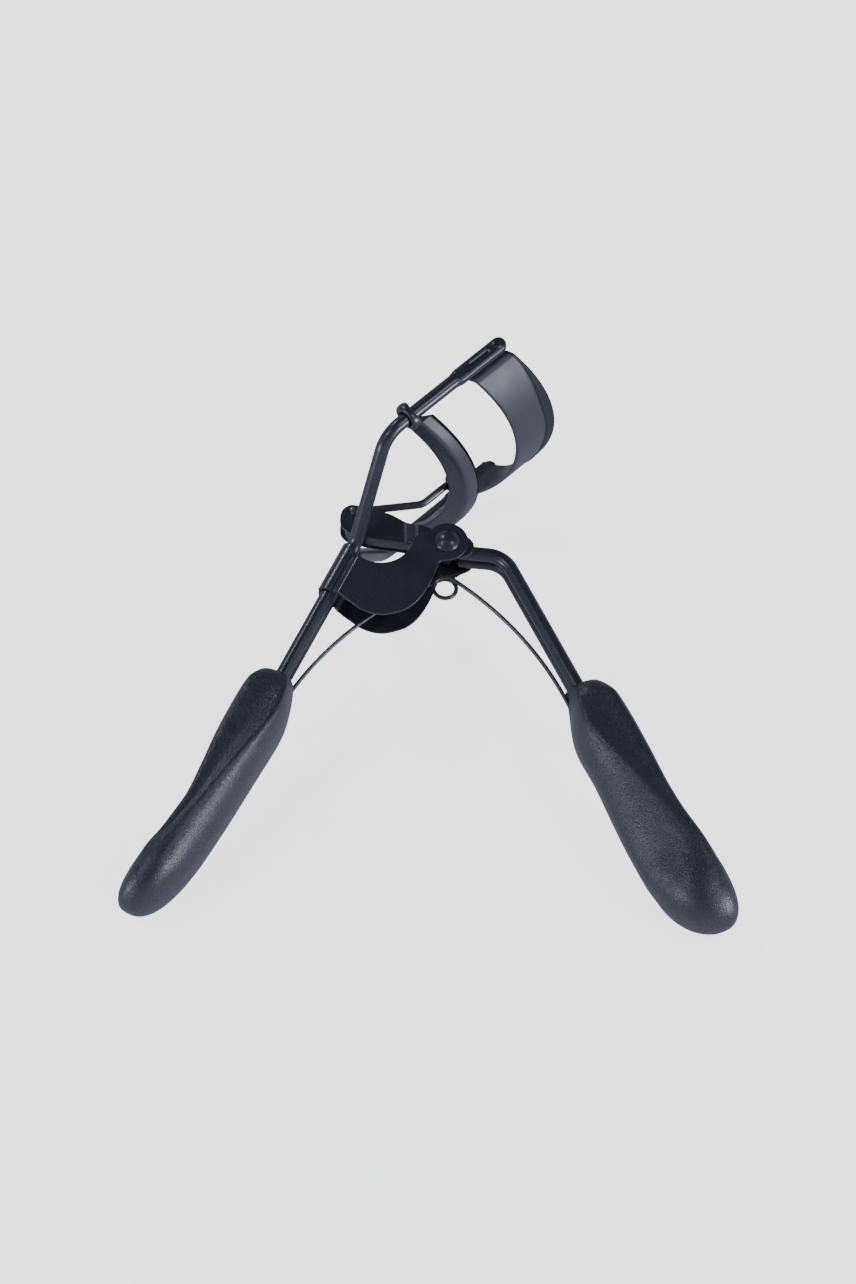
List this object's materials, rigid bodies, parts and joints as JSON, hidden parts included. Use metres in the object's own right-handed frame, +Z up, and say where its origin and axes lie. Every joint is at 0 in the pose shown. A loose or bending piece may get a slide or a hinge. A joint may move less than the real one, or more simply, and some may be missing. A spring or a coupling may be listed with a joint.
{
  "type": "eyelash curler",
  "caption": "Scissor-handled eyelash curler: curved padded jaw slides up two rods to a curved plate, worked by a lever, push link and return spring, with soft grips.",
  "frame": {"origin": "bottom centre of the part's bounding box, on the surface it lies on", "axes": "the tool lies on its side: +Y runs from the grips to the head, +X to the moving lever's side, +Z up off the surface, leaning 11 degrees from the pivot's axis"},
  "size_m": [0.0826, 0.0846, 0.0377],
  "materials": {
    "black_enamel": "satin near-black enamel on steel",
    "satin_enamel": "fine satin black enamel on pressed sheet",
    "blackened_steel": "blackened spring wire with a dull sheen",
    "grip_rubber": "soft-touch black rubber with a fine sandy grain",
    "pad_rubber": "smooth black silicone rubber"
  },
  "bodies": {
    "frame": {"near_frame_rod": "black_enamel", "far_frame_rod": "black_enamel", "upper_plate": "satin_enamel", "frame_bracket": "black_enamel", "pivot_rivet": "black_enamel", "fixed_grip": "grip_rubber", "return_spring": "blackened_steel"},
    "lever": {"lever_plate": "black_enamel", "near_lever_rod": "black_enamel", "far_lever_rod": "black_enamel", "lever_grip": "grip_rubber", "link_pin": "blackened_steel"},
    "jaw": {"lower_jaw": "satin_enamel", "lash_pad": "pad_rubber", "near_slide_eyelet": "black_enamel", "far_slide_eyelet": "black_enamel", "jaw_rivet": "black_enamel"},
    "link": {"push_link": "blackened_steel"}
  },
  "joints": [
    {"name": "lever_pivot", "type": "hinge", "parent": "frame", "child": "lever", "pos_m": [0.00296, 0.01454, 0.01582], "axis": [0, 0.1959, -0.9806], "range_deg": [0, 35.5], "stiffness_Nm_per_rad": 0.3, "springref_deg": -20.05, "deforming": ["return_spring"]},
    {"name": "jaw_slide", "type": "slide", "parent": "frame", "child": "jaw", "axis": [0.7266, 0.6738, 0.1346], "range_m": [0, 0.00822]},
    {"name": "link_hinge", "type": "hinge", "parent": "jaw", "child": "link", "pos_m": [0.00366, 0.02572, 0.01806], "axis": [0, -0.1959, 0.9806], "range_deg": [-3.4, 0]}
  ],
  "couplings": [
    {"joint": "jaw_slide", "follows": "lever_pivot", "m_per_rad": 0.013251},
    {"joint": "link_hinge", "follows": "lever_pivot", "ratio": -0.0953}
  ]
}
